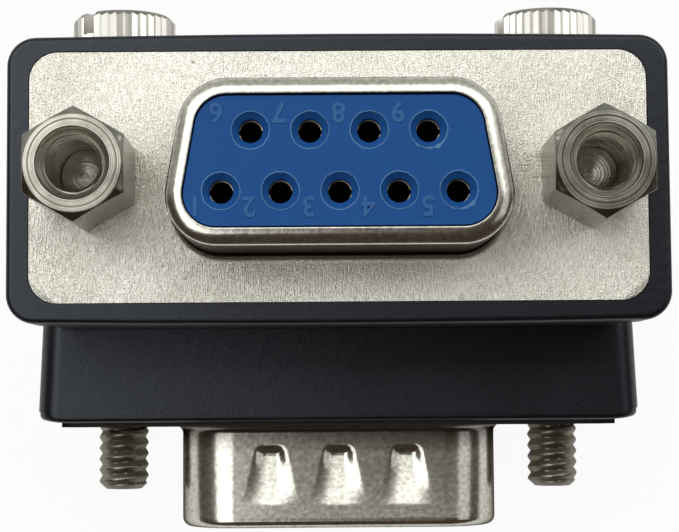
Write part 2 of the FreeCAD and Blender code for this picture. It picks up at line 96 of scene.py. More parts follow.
def applyModifier(piece, kind, **settings):
    pick(piece)
    modifier = piece.modifiers.new(kind.title(), kind)
    for name, value in settings.items():
        setattr(modifier, name, value)
    bpy.ops.object.modifier_apply(modifier=modifier.name)


# Rounds the edges that turn by more than sharperThan degrees
def bevelEdges(piece, width, sharperThan):
    applyModifier(piece, "BEVEL", width=width, segments=2, limit_method="ANGLE",
                  angle_limit=math.radians(sharperThan), use_clamp_overlap=True)


def joinPieces(pieces):
    pick(*pieces)
    bpy.ops.object.join()
    return bpy.context.object


# Names a piece, gives it its material and smooth shading, and lets it ride on its body
def finishPiece(piece, name, material, body="root", stands=(), sharpAngle=32):
    bakePlace(piece)
    piece.name = name
    piece.data.name = name
    piece.data.materials.clear()
    piece.data.materials.append(material)
    bpy.ops.object.shade_smooth_by_angle(angle=math.radians(sharpAngle))
    applyModifier(piece, "WEIGHTED_NORMAL", keep_sharp=True, weight=80)
    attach(piece, body)
    if stands:
        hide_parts(*stands)


# A copy of a node with its corners merged and its flat stretches made whole, for more work
def copyOfNode(node):
    mergeDistance = 0.002 * mm
    flatAngle = math.radians(0.3)
    piece = bpy.data.objects.new(node + "Copy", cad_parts[node].data.copy())
    bpy.context.scene.collection.objects.link(piece)
    pick(piece)
    bpy.ops.mesh.customdata_custom_splitnormals_clear()
    editAll(piece)
    bpy.ops.mesh.remove_doubles(threshold=mergeDistance)
    bpy.ops.mesh.dissolve_limited(angle_limit=flatAngle)
    bpy.ops.object.mode_set(mode="OBJECT")
    return piece


# Materials

# An sRGB hex colour as the linear numbers that the shaders take
def linear(hexColour):
    values = [int(hexColour[k:k + 2], 16) / 255 for k in (1, 3, 5)]
    return tuple(
        v / 12.92 if v <= 0.04045 else ((v + 0.055) / 1.055) ** 2.4 for v in values) + (1.0,)


# Adds a node, sets its inputs or properties by name or number, and links its inputs
def addNode(tree, kind, settings=None, links=None):
    node = tree.nodes.new(kind)
    for name, value in (settings or {}).items():
        if isinstance(name, int) or name in node.inputs:
            node.inputs[name].default_value = value
        else:
            setattr(node, name, value)
    for name, source in (links or {}).items():
        tree.links.new(source, node.inputs[name])
    return node


def newMaterial(name, settings):
    material = bpy.data.materials.new(name)
    material.use_nodes = True
    tree = material.node_tree
    tree.nodes.clear()
    shader = addNode(tree, "ShaderNodeBsdfPrincipled", settings)
    addNode(tree, "ShaderNodeOutputMaterial", {}, {"Surface": shader.outputs[0]})
    place = addNode(tree, "ShaderNodeTexCoord").outputs["Object"]
    return material, tree, shader, place


def linkSurface(tree, shader, colour, rough, bump):
    tree.links.new(colour, shader.inputs["Base Color"])
    tree.links.new(rough, shader.inputs["Roughness"])
    tree.links.new(bump.outputs[0], shader.inputs["Normal"])


# Noise that is one length along an axis and another across it, so that it can make fine lines
def stretchedNoise(tree, place, axis, length, width):
    lengths = [width] * 3
    lengths["XYZ".index(axis)] = length
    scaled = addNode(tree, "ShaderNodeMapping", {"Scale": [1 / size for size in lengths]}, {
        0: place})
    return addNode(tree, "ShaderNodeTexNoise", {"Scale": 1.0, "Detail": 2.0}, {
        0: scaled.outputs[0]}).outputs[0]


pressedNickel = {
    "bright": "#fbfaf0", "dull": "#c2c1b3", "dullAt": 0.95, "brightAt": 1.55,
    "edgeTint": "#57504a", "cloud": 5 * mm, "cloudShare": 0.5,
    "streakWidth": 0.05 * mm, "streakLength": 0.5 * mm, "grain": 0.07 * mm,
    "mottleHigh": 0.22 * mm, "mottleWide": 0.26 * mm, "mottleGain": 1.1, "mottleBase": 0.49,
    "speck": "#4c443b", "speckSpacing": 2.6 * mm, "speckSize": 0.13 * mm,
    "shearedAndShaded": "#3a3633", "shearedFrom": 0.75, "shearedBy": 0.45,
    "foot": "#2b2622", "footShare": 0.92, "wallStart": 0.25 * mm,
    "roughness": 0.34, "wallRoughness": 0.2,
    "bumpHeight": 0.03 * mm, "flatRelief": 1.15, "wallRelief": 0.11,
}


# Bright nickel on pressed steel. The flat of the flange was brushed before plating, so upright
# hairlines and grain break its reflections into sparkle. The die rubbed the drawn wall smooth, so
# it mirrors the room and only a faint mottle is left. Both turn dark where they are seen nearly
# edge-on, a painted shade set in their edge tint. The sheared edge of the sheet is bare and dark,
# partly as painted shade, and the foot of the wall is painted dark as shade, darkest at the flange.
# rise is the axis that the wall stands up on, face is the flange's place.
def nickelOnPressedSteel(name, rise, face, direction, footHeight):
    cfg = pressedNickel
    upright = "Y" if rise == "Z" else "Z"
    # The dark edge tint darkens the metal where it is seen edge-on: painted shade
    material, tree, shader, place = newMaterial(name, {
        "Metallic": 1.0, "Specular Tint": linear(cfg["edgeTint"])})
    height = addNode(tree, "ShaderNodeSeparateXYZ", {}, {0: place}).outputs[rise]
    wall = addNode(tree, "ShaderNodeMapRange", {
        1: face, 2: face + direction * cfg["wallStart"]}, {0: height}).outputs[0]
    flat = addNode(tree, "ShaderNodeMath", {"operation": "SUBTRACT", 0: 1.0}, {
        1: wall}).outputs[0]
    streaks = stretchedNoise(tree, place, upright, cfg["streakLength"], cfg["streakWidth"])
    rubbed = stretchedNoise(tree, place, rise, cfg["mottleHigh"], cfg["mottleWide"])
    grain = addNode(tree, "ShaderNodeTexNoise", {"Scale": 1 / cfg["grain"], "Detail": 3.0}, {
        0: place}).outputs[0]
    cloud = addNode(tree, "ShaderNodeTexNoise", {"Scale": 1 / cfg["cloud"], "Detail": 3.0}, {
        0: place}).outputs[0]
    brushed = addNode(tree, "ShaderNodeMath", {"operation": "ADD"}, {
        0: streaks, 1: grain}).outputs[0]
    relief = addNode(tree, "ShaderNodeMix", {"data_type": "FLOAT"}, {
        0: wall, 2: brushed, 3: rubbed}).outputs[0]
    strength = addNode(tree, "ShaderNodeMapRange", {
        3: cfg["wallRelief"], 4: cfg["flatRelief"]}, {0: flat}).outputs[0]
    bump = addNode(tree, "ShaderNodeBump", {"Distance": cfg["bumpHeight"]}, {
        "Height": relief, "Strength": strength})
    # What lies deep holds a little tarnish and what stands up is worn bright. On the wall that is
    # the mottle, brought to the same range as the brushed lines.
    mottle = addNode(tree, "ShaderNodeMath", {
        "operation": "MULTIPLY_ADD", 1: cfg["mottleGain"], 2: cfg["mottleBase"]}, {
        0: rubbed}).outputs[0]
    ridges = addNode(tree, "ShaderNodeMix", {"data_type": "FLOAT"}, {
        0: wall, 2: brushed, 3: mottle}).outputs[0]
    worn = addNode(tree, "ShaderNodeMath", {"operation": "MULTIPLY_ADD", 1: cfg["cloudShare"]}, {
        0: cloud, 2: ridges}).outputs[0]
    worn = addNode(tree, "ShaderNodeMapRange", {1: cfg["dullAt"], 2: cfg["brightAt"]}, {
        0: worn}).outputs[0]
    tone = addNode(tree, "ShaderNodeMix", {
        "data_type": "RGBA", 6: linear(cfg["dull"]), 7: linear(cfg["bright"])}, {
        0: worn}).outputs[2]
    # Pores in the plate, a few dark dots well apart
    cells = addNode(tree, "ShaderNodeTexVoronoi", {"Scale": 1 / cfg["speckSpacing"]}, {0: place})
    dot = addNode(tree, "ShaderNodeMapRange", {
        2: cfg["speckSize"] / cfg["speckSpacing"], 3: 1.0, 4: 0.0}, {
        0: cells.outputs[0]}).outputs[0]
    dot = addNode(tree, "ShaderNodeMath", {"operation": "MULTIPLY"}, {0: dot, 1: flat}).outputs[0]
    tone = addNode(tree, "ShaderNodeMix", {
        "data_type": "RGBA", 7: linear(cfg["speck"])}, {0: dot, 6: tone}).outputs[2]
    # Only the cut edge of the sheet stands square to the flange so close to it
    normal = addNode(tree, "ShaderNodeTexCoord").outputs["Normal"]
    facing = addNode(tree, "ShaderNodeSeparateXYZ", {}, {0: normal}).outputs[rise]
    facing = addNode(tree, "ShaderNodeMath", {"operation": "ABSOLUTE"}, {0: facing}).outputs[0]
    shearedAndShaded = addNode(tree, "ShaderNodeMapRange", {
        1: cfg["shearedFrom"], 2: cfg["shearedBy"]}, {0: facing}).outputs[0]
    shearedAndShaded = addNode(tree, "ShaderNodeMath", {"operation": "MULTIPLY"}, {
        0: shearedAndShaded, 1: flat}).outputs[0]
    # The cut edge is darkened, partly for its bare steel and partly as painted shade
    tone = addNode(tree, "ShaderNodeMix", {
        "data_type": "RGBA", 7: linear(cfg["shearedAndShaded"])}, {0: shearedAndShaded, 6: tone}).outputs[2]
    # The foot of the wall is painted dark as shade, darkest at the flange
    foot = addNode(tree, "ShaderNodeMapRange", {
        1: face, 2: face + direction * footHeight, 3: cfg["footShare"], 4: 0.0}, {
        0: height}).outputs[0]
    foot = addNode(tree, "ShaderNodeMath", {"operation": "MULTIPLY"}, {
        0: foot, 1: wall}).outputs[0]
    colour = addNode(tree, "ShaderNodeMix", {
        "data_type": "RGBA", 7: linear(cfg["foot"])}, {0: foot, 6: tone}).outputs[2]
    rough = addNode(tree, "ShaderNodeMapRange", {
        3: cfg["roughness"], 4: cfg["wallRoughness"]}, {0: wall}).outputs[0]
    linkSurface(tree, shader, colour, rough, bump)
    return material


turnedNickel = {
    "bright": "#b0afa4", "dull": "#817f75", "dullAt": 0.75, "brightAt": 1.2,
    "toolMark": 0.1 * mm, "cloud": 1.2 * mm, "threadRadius": 1.7 * mm,
    "groove": "#6a645a", "grooveRadius": 2.08 * mm, "grooveWidth": 0.05 * mm,
    "sideFrom": 0.4, "sideBy": 0.1, "smoother": 0.04, "rougher": 0.06,
    "bumpHeight": 0.02 * mm, "plainRelief": 0.3, "threadRelief": 0.8,
}


# Bright nickel on turned steel: mirror-like, with the tool's fine rings left round the axis, on
# its faces too. The sides take a tone of their own, painted light: painted shade on the jackscrews'
# hexagon sides and a painted highlight on the thumbscrews' knurl. The threads take one too: paler
# in the jackscrews' bores, painted light that brightens them, and duller on the thumbscrews' tips.
# The screws stand as far left as right, so the distance from the axis is the same sum for both. The
# threads lie before threadEnd.
def nickelOnTurnedSteel(name, axis, middle, threadEnd, inThreadTone, paintedSideLight, roughness):
    cfg = turnedNickel
    material, tree, shader, place = newMaterial(name, {"Metallic": 1.0})
    mirrored = addNode(tree, "ShaderNodeVectorMath", {"operation": "ABSOLUTE"}, {
        0: place}).outputs[0]
    offset = addNode(tree, "ShaderNodeVectorMath", {"operation": "SUBTRACT", 1: middle}, {
        0: mirrored}).outputs[0]
    acrossAxis = [0 if letter == axis else 1 for letter in "XYZ"]
    radial = addNode(tree, "ShaderNodeVectorMath", {"operation": "MULTIPLY", 1: acrossAxis}, {
        0: offset}).outputs[0]
    reach = addNode(tree, "ShaderNodeVectorMath", {"operation": "LENGTH"}, {
        0: radial}).outputs["Value"]
    along = addNode(tree, "ShaderNodeSeparateXYZ", {}, {0: place}).outputs[axis]
    path = addNode(tree, "ShaderNodeMath", {"operation": "ADD"}, {0: along, 1: reach}).outputs[0]
    rings = addNode(tree, "ShaderNodeTexNoise", {
        "noise_dimensions": "1D", "Scale": 1 / cfg["toolMark"], "Detail": 2.0}, {
        "W": path}).outputs[0]
    cloud = addNode(tree, "ShaderNodeTexNoise", {"Scale": 1 / cfg["cloud"], "Detail": 3.0}, {
        0: place}).outputs[0]
    ringed = addNode(tree, "ShaderNodeMath", {"operation": "ADD"}, {
        0: cloud, 1: rings}).outputs[0]
    ringed = addNode(tree, "ShaderNodeMapRange", {1: cfg["dullAt"], 2: cfg["brightAt"]}, {
        0: ringed}).outputs[0]
    tone = addNode(tree, "ShaderNodeMix", {
        "data_type": "RGBA", 6: linear(cfg["dull"]), 7: linear(cfg["bright"])}, {
        0: ringed}).outputs[2]
    # The sides take a tone of their own, painted light unlike the turned faces
    normal = addNode(tree, "ShaderNodeTexCoord").outputs["Normal"]
    facing = addNode(tree, "ShaderNodeSeparateXYZ", {}, {0: normal}).outputs[axis]
    side = addNode(tree, "ShaderNodeMapRange", {1: cfg["sideFrom"], 2: cfg["sideBy"]}, {
        0: facing}).outputs[0]
    tone = addNode(tree, "ShaderNodeMix", {
        "data_type": "RGBA", 7: linear(paintedSideLight)}, {0: side, 6: tone}).outputs[2]
    # A fine dark ring runs round the face, just inside its edge
    offGroove = addNode(tree, "ShaderNodeMath", {
        "operation": "SUBTRACT", 1: cfg["grooveRadius"]}, {0: reach}).outputs[0]
    offGroove = addNode(tree, "ShaderNodeMath", {"operation": "ABSOLUTE"}, {
        0: offGroove}).outputs[0]
    groove = addNode(tree, "ShaderNodeMapRange", {
        1: cfg["grooveWidth"], 2: cfg["grooveWidth"] / 3}, {0: offGroove}).outputs[0]
    tone = addNode(tree, "ShaderNodeMix", {
        "data_type": "RGBA", 7: linear(cfg["groove"])}, {0: groove, 6: tone}).outputs[2]
    # The threads take their own tone; in the jackscrews' bores it is paler, painted light that
    # brightens them
    inner = addNode(tree, "ShaderNodeMath", {
        "operation": "LESS_THAN", 1: cfg["threadRadius"]}, {0: reach}).outputs[0]
    before = addNode(tree, "ShaderNodeMath", {"operation": "LESS_THAN", 1: threadEnd}, {
        0: along}).outputs[0]
    inThread = addNode(tree, "ShaderNodeMath", {"operation": "MULTIPLY"}, {
        0: inner, 1: before}).outputs[0]
    colour = addNode(tree, "ShaderNodeMix", {
        "data_type": "RGBA", 7: linear(inThreadTone)}, {0: inThread, 6: tone}).outputs[2]
    strength = addNode(tree, "ShaderNodeMapRange", {
        3: cfg["plainRelief"], 4: cfg["threadRelief"]}, {0: inThread}).outputs[0]
    bump = addNode(tree, "ShaderNodeBump", {"Distance": cfg["bumpHeight"]}, {
        "Height": rings, "Strength": strength})
    rough = addNode(tree, "ShaderNodeMapRange", {
        3: roughness - cfg["smoother"], 4: roughness + cfg["rougher"]}, {0: cloud}).outputs[0]
    linkSurface(tree, shader, colour, rough, bump)
    return material


blackVinyl = {
    "base": "#0c0d10", "worn": "#111317", "grain": 0.16 * mm, "pit": 0.45 * mm, "patch": 7 * mm,
    "roughness": 0.3, "smoother": 0.06, "rougher": 0.08, "ior": 1.53, "specular": 0.56,
    "tint": "#d6dfec", "grainShare": 0.6, "bumpHeight": 0.03 * mm, "bump": 0.28,
}


# Black PVC overmoulded in a spark-eroded tool: charcoal, with a fine even grain that turns its
# highlights into a soft haze. The haze's bluish tint is painted light, standing in for a cool lamp.
def mouldedVinyl():
    cfg = blackVinyl
    # Its bluish specular tint is painted light, the colour of a cool lamp
    material, tree, shader, place = newMaterial("blackOvermouldedVinyl", {
        "IOR": cfg["ior"], "Specular IOR Level": cfg["specular"],
        "Specular Tint": linear(cfg["tint"])})
    fine = addNode(tree, "ShaderNodeTexNoise", {"Scale": 1 / cfg["grain"], "Detail": 3.0}, {
        0: place}).outputs[0]
    pits = addNode(tree, "ShaderNodeTexNoise", {"Scale": 1 / cfg["pit"], "Detail": 2.0}, {
        0: place}).outputs[0]
    patch = addNode(tree, "ShaderNodeTexNoise", {"Scale": 1 / cfg["patch"], "Detail": 3.0}, {
        0: place}).outputs[0]
    relief = addNode(tree, "ShaderNodeMath", {
        "operation": "MULTIPLY_ADD", 1: cfg["grainShare"]}, {0: fine, 2: pits}).outputs[0]
    bump = addNode(tree, "ShaderNodeBump", {
        "Distance": cfg["bumpHeight"], "Strength": cfg["bump"]}, {"Height": relief})
    colour = addNode(tree, "ShaderNodeMix", {
        "data_type": "RGBA", 6: linear(cfg["base"]), 7: linear(cfg["worn"])}, {
        0: patch}).outputs[2]
    rough = addNode(tree, "ShaderNodeMapRange", {
        3: cfg["roughness"] - cfg["smoother"], 4: cfg["roughness"] + cfg["rougher"]}, {
        0: patch}).outputs[0]
    linkSurface(tree, shader, colour, rough, bump)
    return material


insulatorFinish = {
    "grain": 0.3 * mm, "cloud": 3 * mm, "roughness": 0.44, "smoother": 0.05, "rougher": 0.07,
    "ior": 1.55, "specular": 0.1, "bumpHeight": 0.02 * mm, "bump": 0.15,
}


# Glass-filled PBT from a ground tool: an even satin colour with a faint cloud of glass at the skin
def mouldedPbt(name, base, pale):
    cfg = insulatorFinish
    material, tree, shader, place = newMaterial(name, {
        "IOR": cfg["ior"], "Specular IOR Level": cfg["specular"]})
    cloud = addNode(tree, "ShaderNodeTexNoise", {"Scale": 1 / cfg["cloud"], "Detail": 4.0}, {
        0: place}).outputs[0]
    grain = addNode(tree, "ShaderNodeTexNoise", {"Scale": 1 / cfg["grain"], "Detail": 3.0}, {
        0: place}).outputs[0]
    bump = addNode(tree, "ShaderNodeBump", {
        "Distance": cfg["bumpHeight"], "Strength": cfg["bump"]}, {"Height": grain})
    colour = addNode(tree, "ShaderNodeMix", {
        "data_type": "RGBA", 6: linear(base), 7: linear(pale)}, {0: cloud}).outputs[2]
    rough = addNode(tree, "ShaderNodeMapRange", {
        3: cfg["roughness"] - cfg["smoother"], 4: cfg["roughness"] + cfg["rougher"]}, {
        0: cloud}).outputs[0]
    linkSurface(tree, shader, colour, rough, bump)
    return material


smallMetalFinish = {
    "smoother": 0.05, "rougher": 0.08, "bumpHeight": 0.01 * mm, "bump": 0.15,
}


# Small metal parts: a plated or plain metal whose grain slightly mottles its colour and polish
def smallMetal(name, dull, bright, roughness, grainSize):
    cfg = smallMetalFinish
    material, tree, shader, place = newMaterial(name, {"Metallic": 1.0})
    grain = addNode(tree, "ShaderNodeTexNoise", {"Scale": 1 / grainSize, "Detail": 3.0}, {
        0: place}).outputs[0]
    bump = addNode(tree, "ShaderNodeBump", {
        "Distance": cfg["bumpHeight"], "Strength": cfg["bump"]}, {"Height": grain})
    colour = addNode(tree, "ShaderNodeMix", {
        "data_type": "RGBA", 6: linear(dull), 7: linear(bright)}, {0: grain}).outputs[2]
    rough = addNode(tree, "ShaderNodeMapRange", {
        3: roughness - cfg["smoother"], 4: roughness + cfg["rougher"]}, {0: grain}).outputs[0]
    linkSurface(tree, shader, colour, rough, bump)
    return material


contactFlash = {
    "gold": "#cdb987", "paleGold": "#ece0c0", "boreShade": "#1f1d1a", "roughness": 0.3,
    "cloud": 0.2 * mm, "boreShadeFrom": 0.12 * mm, "boreShadeFullBy": 0.3 * mm,
}


# Machined contacts take their gold flash outside and at the mouth; down the bore the colour fades
# to nearly black, painted shade in the deep hole
def goldFlashedContact(name, mouthZ):
    cfg = contactFlash
    material, tree, shader, place = newMaterial(name, {
        "Metallic": 1.0, "Roughness": cfg["roughness"]})
    height = addNode(tree, "ShaderNodeSeparateXYZ", {}, {0: place}).outputs["Z"]
    depth = addNode(tree, "ShaderNodeMapRange", {
        1: mouthZ - cfg["boreShadeFrom"], 2: mouthZ - cfg["boreShadeFullBy"]}, {0: height}).outputs[0]
    cloud = addNode(tree, "ShaderNodeTexNoise", {"Scale": 1 / cfg["cloud"], "Detail": 3.0}, {
        0: place}).outputs[0]
    flash = addNode(tree, "ShaderNodeMix", {
        "data_type": "RGBA", 6: linear(cfg["gold"]), 7: linear(cfg["paleGold"])}, {
        0: cloud}).outputs[2]
    # Painted shade, nearly black, down the bore
    colour = addNode(tree, "ShaderNodeMix", {
        "data_type": "RGBA", 7: linear(cfg["boreShade"])}, {0: depth, 6: flash}).outputs[2]
    tree.links.new(colour, shader.inputs["Base Color"])
    return material


# Both shells' walls are painted dark at their foot, as shade, up to the given height
socketNickel = nickelOnPressedSteel(
    "brushedNickelSocketShell", rise="Z", face=socketFaceZ, direction=1, footHeight=6 * mm)
plugNickel = nickelOnPressedSteel(
    "brushedNickelPlugShell", rise="Y", face=plugFaceY, direction=-1, footHeight=1.6 * mm)
screwX = nodeMiddle("jackscrew_right").x
aboveAll = 1.0           # past the end of the jackscrews, which are threaded all the way
# Painted shade on the hexagon sides, and a paler tone in the bores that is painted light
jackNickel = nickelOnTurnedSteel(
    "turnedNickelJackscrew", axis="Z", middle=(screwX, socketCentreY, 0), threadEnd=aboveAll,
    inThreadTone="#b9b6ac", paintedSideLight="#857e73", roughness=0.2)
# A painted highlight on the knurled sides of the heads
thumbNickel = nickelOnTurnedSteel(
    "turnedNickelThumbscrew", axis="Y", middle=(screwX, 0, plugCentreZ), threadEnd=plugFaceY,
    inThreadTone="#8f8b80", paintedSideLight="#f2f1ea", roughness=0.36)
vinyl = mouldedVinyl()
bluePbt = mouldedPbt("bluePbtInsulator", base="#1c5090", pale="#225698")
blackPbt = mouldedPbt("blackPbtInsulator", base="#15161a", pale="#1f2125")
rubbedPbt = mouldedPbt("rubbedBluePbt", base="#2d5a97", pale="#416fa6")
scuffedPbt = mouldedPbt("scuffedBluePbt", base="#4673a8", pale="#6d94bd")
contactGold = goldFlashedContact("goldFlashSocketContact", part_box("socket_contact_1")[1].z)
goldFlash = smallMetal(
    "goldFlashOnBrass", dull="#c49a4a", bright="#e6c987", roughness=0.22, grainSize=0.15 * mm)
tinnedCopper = smallMetal(
    "tinnedCopperWire", dull="#9c9d9b", bright="#c9c9c5", roughness=0.35, grainSize=0.2 * mm)
springSteel = smallMetal(
    "phosphatedSpringSteel", dull="#3c3d3f", bright="#5d5e60", roughness=0.45,
    grainSize=0.1 * mm)
print("materials made")


# Pressed shells: the D-shaped wall is drawn up from its flange out of one sheet

socketD = {
    "width": 16.33 * mm, "height": 7.9 * mm, "corner": 2.4 * mm, "lean": 10, "reach": 5.95 * mm,
    "root": 0.45 * mm, "rim": 0.3 * mm, "crown": 0.3 * mm, "lip": 0.8 * mm, "wallRows": 8,
    "arcSteps": 16, "sideSteps": (4, 8, 4, 10), "thickness": 0.36 * mm, "edge": 0.04 * mm,
    "bendSteps": 7, "lipSteps": 4,
}
plugD = {
    "width": 17.85 * mm, "height": 9.26 * mm, "corner": 3.0 * mm, "lean": 10, "reach": 5.7 * mm,
    "root": 0.45 * mm, "rim": 0.5 * mm, "crown": 0.0, "lip": 0.5 * mm, "wallRows": 56,
    "arcSteps": 16, "sideSteps": (10, 112, 10, 124), "thickness": 0.43 * mm, "edge": 0.03 * mm,
    "bendSteps": 7,
}
flangeSize = {
    "width": 30.81 * mm, "height": 12.55 * mm, "corner": 1.4 * mm, "lean": 0,
    "arcSteps": 10, "sideSteps": (2, 2, 2, 2), "hole": 3.1 * mm, "holeSteps": 40,
}
gripDimple = {
    "pitch": 3.8 * mm, "wideCount": 3, "depth": 0.25 * mm, "start": 1.6 * mm, "length": 2.8 * mm,
    "floor": 0.36 * mm, "spread": 0.02, "topWall": 0.52 * mm, "wall": 0.52 * mm, "flare": 0.24,
    "tuck": 0.1 * mm, "tuckLength": 1.5 * mm, "open": 0.27 * mm,
}


# Points round a D whose short sides lean in, wide side at -Y, grown outwards by grow
def dOutline(shape, grow):
    lean = math.radians(shape["lean"])
    rise = shape["height"] / 2 - shape["corner"]
    wide = shape["width"] / 2 - shape["corner"]
    narrow = wide - 2 * rise * math.tan(lean)
    quarter = math.pi / 2
    corners = [
        (wide, -rise, -quarter, lean),
        (narrow, rise, lean, quarter),
        (-narrow, rise, quarter, math.pi - lean),
        (-wide, -rise, math.pi - lean, 3 * quarter),
    ]
    radius = shape["corner"] + grow
    steps = shape["arcSteps"]
    arcs = []
    for x, y, start, stop in corners:
        turns = [start + (stop - start) * k / steps for k in range(steps + 1)]
        arcs.append([
            Vector((x + radius * math.cos(t), y + radius * math.sin(t), 0)) for t in turns])
    points = []
    for arc, following, count in zip(arcs, arcs[1:] + arcs[:1], shape["sideSteps"]):
        points += arc
        points += [arc[-1].lerp(following[0], k / count) for k in range(1, count)]
    return points


# How far each ring of the drawn wall is from the nominal D, and how high it stands
def drawnProfile(shape):
    steps = shape["bendSteps"]
    root, rim, crown, lip = shape["root"], shape["rim"], shape["crown"], shape["lip"]
    flat = lip - rim
    tilt = math.atan2(2 * crown, flat) if flat > 0 else 0.0
    top = shape["reach"] - crown - rim * math.cos(tilt)
    rings = []
    for k in range(steps + 1):
        turn = math.pi / 2 * k / steps
        rings.append((root * (1 - math.sin(turn)), root * (1 - math.cos(turn))))
    for k in range(1, shape["wallRows"]):
        rings.append((0.0, root + (top - root) * k / shape["wallRows"]))
    for k in range(steps + 1):
        turn = (math.pi / 2 - tilt) * k / steps
        rings.append((-rim * (1 - math.cos(turn)), top + rim * math.sin(turn)))
    # Where the rim leaves room, a lip goes on inwards and crowns up to the reach
    start = rings[-1][0]
    if flat > 0:
        for k in range(1, shape["lipSteps"] + 1):
            share = k / shape["lipSteps"]
            rings.append((start + (-lip - start) * share,
                          shape["reach"] - crown * (1 - share) ** 2))
    return rings


# Adds a closed loop of edges through the points to the mesh being edited
def addLoop(points):
    bpy.ops.mesh.select_all(action="DESELECT")
    bpy.ops.mesh.primitive_circle_add(vertices=len(points), radius=mm)
    mesh = bmesh.from_edit_mesh(bpy.context.object.data)
    for vertex, point in zip([v for v in mesh.verts if v.select], points):
        vertex.co = point
    bmesh.update_edit_mesh(bpy.context.object.data)


# The wide walls swell towards the flange, where the sheet was held while it was drawn, and open a
# little towards the mouth. Each scoop in them is steep at its upper end, and its walls widen as its
# floor rises to the surface.
def pressDimples(piece, shape):
    cfg = gripDimple
    half = shape["height"] / 2
    cornerStart = half - shape["corner"]
    for vertex in piece.data.vertices:
        x, y, z = vertex.co
        if abs(y) > half + shape["root"] + sliver:
            continue
        side = min(max((abs(y) - cornerStart) / shape["corner"], 0.0), 1.0) ** 2
        swell = max(1 - z / cfg["tuckLength"], 0.0) ** 2 * cfg["tuck"]
        swell += (z / shape["reach"]) ** 2 * cfg["open"]
        vertex.co.y += math.copysign(swell * side, y)
        if abs(y) < half - sliver:
            continue
        count = cfg["wideCount"] if y < 0 else cfg["wideCount"] - 1
        down = max(z - cfg["start"], 0.0)
        above = max(cfg["start"] - z, 0.0) / cfg["topWall"]
        depth = 0.0
        for k in range(count):
            across = abs(x - (k - (count - 1) / 2) * cfg["pitch"])
            outside = max(across - cfg["floor"] - down * cfg["spread"], 0.0)
            wall = max(1 - math.hypot(outside / (cfg["wall"] + down * cfg["flare"]), above), 0.0)
            rest = 1 - min(down / cfg["length"], 1.0)
            rounded = wall * wall * (3 - 2 * wall)
            depth = max(depth, (wall + rounded) / 2 * rest)
        vertex.co.y -= math.copysign(depth * cfg["depth"], y)


# Draws the wall down ring by ring from its mouth, fills the flange in and gives it all a thickness.
# station numbers the points round the mouth, and each extrusion hands it on.
def pressShell(name, shape, place, material, node, dimples):
    rings = drawnProfile(shape)
    clearSelection()
    first = dOutline(shape, rings[-1][0])
    bpy.ops.mesh.primitive_circle_add(vertices=len(first), radius=shape["width"] / 2)
    piece = bpy.context.object
    station = piece.data.attributes.new("station", "INT", "POINT")
    station.data.foreach_set("value", list(range(len(first))))
    for vertex, point in zip(piece.data.vertices, first):
        vertex.co = point + Vector((0, 0, rings[-1][1]))
    bpy.ops.object.mode_set(mode="EDIT")
    bpy.ops.mesh.select_all(action="SELECT")
    for grow, rise in reversed(rings[:-1]):
        bpy.ops.mesh.extrude_region_move()
        outline = dOutline(shape, grow)
        mesh = bmesh.from_edit_mesh(piece.data)
        layer = mesh.verts.layers.int["station"]
        for vertex in mesh.verts:
            if vertex.select:
                vertex.co = outline[vertex[layer]] + Vector((0, 0, rise))
        bmesh.update_edit_mesh(piece.data)
    # The flange is filled in between its outline, the foot of the wall and the two screw holes
    addLoop(dOutline(flangeSize, 0))
    radius = flangeSize["hole"] / 2
    turns = [math.tau * k / flangeSize["holeSteps"] for k in range(flangeSize["holeSteps"])]
    for side in sides:
        x = nodeMiddle("jackscrew_" + side).x
        addLoop([Vector((x + radius * math.cos(t), radius * math.sin(t), 0)) for t in turns])
    mesh = bmesh.from_edit_mesh(piece.data)
    for edge in mesh.edges:
        flat = all(abs(v.co.z) < hair for v in edge.verts)
        edge.select_set(flat and len(edge.link_faces) < 2)
    bmesh.update_edit_mesh(piece.data)
    bpy.ops.mesh.fill(use_beauty=True)
    bpy.ops.mesh.select_all(action="SELECT")
    bpy.ops.mesh.normals_make_consistent(inside=False)
    bpy.ops.object.mode_set(mode="OBJECT")
    if dimples:
        pressDimples(piece, shape)
    # The flange faces the way the wall stands, and the sheet's thickness goes behind it
    if any(abs(p.center.z) < hair and p.normal.z < 0 for p in piece.data.polygons):
        piece.data.flip_normals()
    applyModifier(piece, "SOLIDIFY", thickness=shape["thickness"], offset=-1.0,
                  use_even_offset=True)
    bevelEdges(piece, shape["edge"], sharperThan=50)
    piece.matrix_world = place
    finishPiece(piece, name, material, stands=[node])


pressShell("socketShell", socketD, onSocket, socketNickel, "socket_shell", dimples=False)
pressShell("plugShell", plugD, onPlug, plugNickel, "plug_shell", dimples=True)
print("shells pressed")


# Threads: 4-40 UNC, cut into the thumbscrews' tips and tapped into the jackscrews

thread = {
    "pitch": 0.635 * mm, "major": 2.84 * mm, "depth": 0.17 * mm, "around": 64, "rowsPerPitch": 12,
    "steepness": 1.18,       # what is over 1 leaves a narrow flat on the crest
}


# How deep a sixty-degree thread is at this turn and height, from 0 on its crest to 1 in its root
def threadGroove(turn, height):
    phase = (height / thread["pitch"] - turn / math.tau) % 1.0
    return max(1 - abs(2 * phase - 1) * thread["steepness"], 0.0)


# Brings a point of a rod or bore along Z to another distance from the axis
def moveToRadius(vertex, wanted):
    reach = math.hypot(vertex.co.x, vertex.co.y)
    vertex.co.x *= wanted / reach
    vertex.co.y *= wanted / reach


